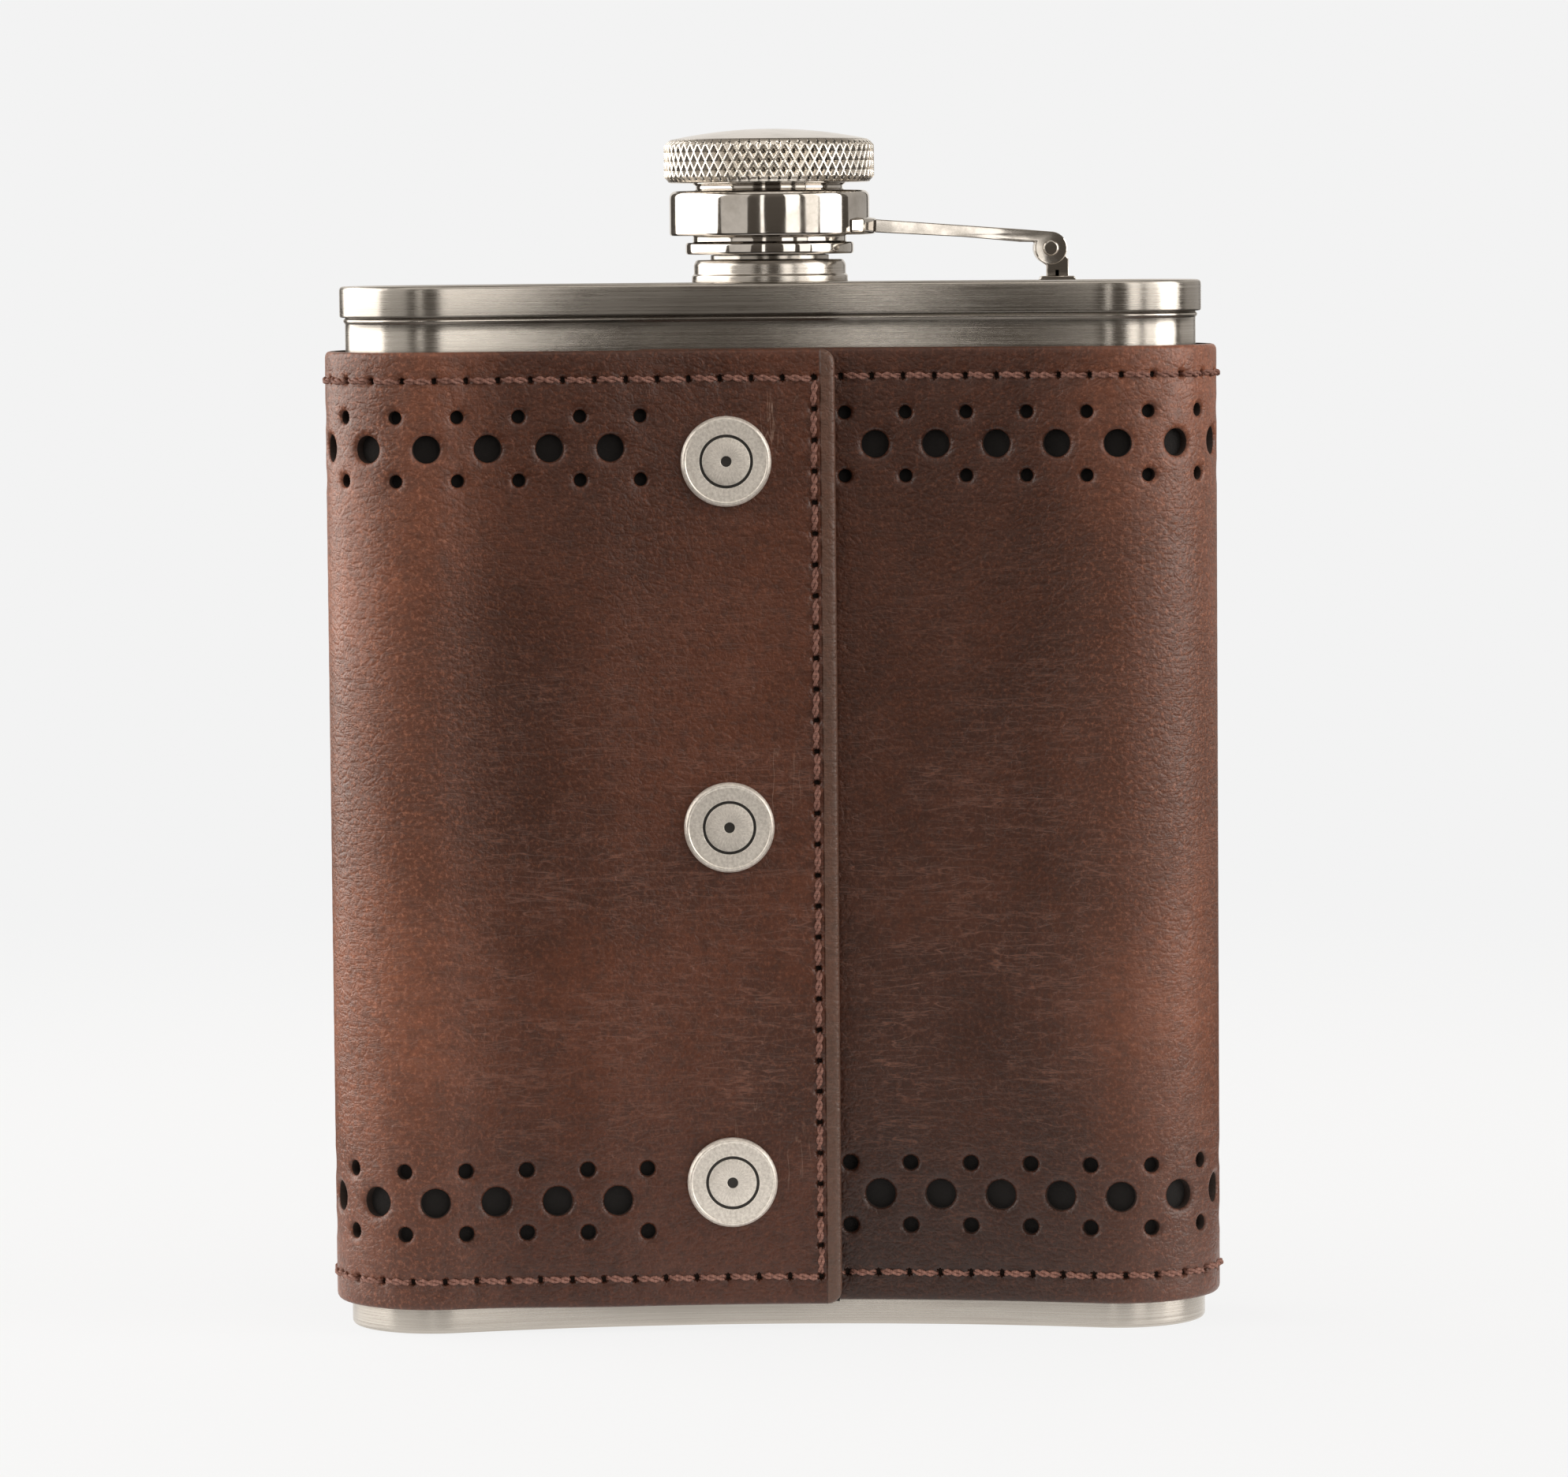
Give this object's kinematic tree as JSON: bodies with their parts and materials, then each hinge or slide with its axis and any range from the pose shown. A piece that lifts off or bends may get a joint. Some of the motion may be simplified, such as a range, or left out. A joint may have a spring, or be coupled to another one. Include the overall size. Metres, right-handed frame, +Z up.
{
  "type": "hip flask",
  "caption": "Curved steel hip flask with a knurled screw cap held on a side-hinged arm, in a perforated leather wrap whose flap closes with press snaps.",
  "frame": {"origin": "on the flat base, straight under the axis of the neck", "axes": "+Z up along the neck's axis, +X towards the cap's hinge, -Y towards the flap and its snaps"},
  "size_m": [0.098, 0.028, 0.1306],
  "materials": {
    "satin_steel": "satin, brushed across",
    "polished_nickel": "polished",
    "snap_nickel": "spun satin with a bright rim",
    "brown_leather": "waxed, smooth grain with light wear",
    "dark_lining": "matt",
    "thread": "twisted waxed thread",
    "gasket": "matt"
  },
  "bodies": {
    "flask": {"body_shell": "satin_steel", "top_plate": "satin_steel", "bottom_plate": "satin_steel", "neck": "satin_steel", "hinge_bracket": "polished_nickel", "hinge_pin": "polished_nickel"},
    "arm": {"hinge_arm": "polished_nickel", "retaining_ring": "polished_nickel"},
    "cap": {"cap_head": "polished_nickel", "cap_insert": "polished_nickel", "cap_gasket": "gasket"},
    "sleeve": {"wrap_leather": "brown_leather", "wrap_lining": "dark_lining", "wrap_stitching": "thread", "snap_stud_top": "snap_nickel", "snap_stud_middle": "snap_nickel", "snap_stud_bottom": "snap_nickel", "snap_post_top": "snap_nickel", "snap_post_middle": "snap_nickel", "snap_post_bottom": "snap_nickel"},
    "flap": {"flap_leather": "brown_leather", "flap_lining": "dark_lining", "flap_stitching": "thread", "snap_cap_top": "snap_nickel", "snap_cap_middle": "snap_nickel", "snap_cap_bottom": "snap_nickel", "snap_socket_top": "snap_nickel", "snap_socket_middle": "snap_nickel", "snap_socket_bottom": "snap_nickel"}
  },
  "joints": [
    {"name": "arm_swing", "type": "hinge", "parent": "flask", "child": "arm", "pos_m": [0.0307, 0, 0.1173], "axis": [0, 1, 0], "range_deg": [0, 175]},
    {"name": "cap_turn", "type": "hinge", "parent": "arm", "child": "cap", "pos_m": [0, 0, 0.1205], "axis": [0, 0, 1], "continuous": true},
    {"name": "sleeve_slide", "type": "slide", "parent": "flask", "child": "sleeve", "axis": [0, 0, -1], "range_m": [0, 0.11]},
    {"name": "flap_open", "type": "hinge", "parent": "sleeve", "child": "flap", "pos_m": [-0.0346, -0.0157, 0.0549], "axis": [0, 0, -1], "range_deg": [0, 100]}
  ]
}
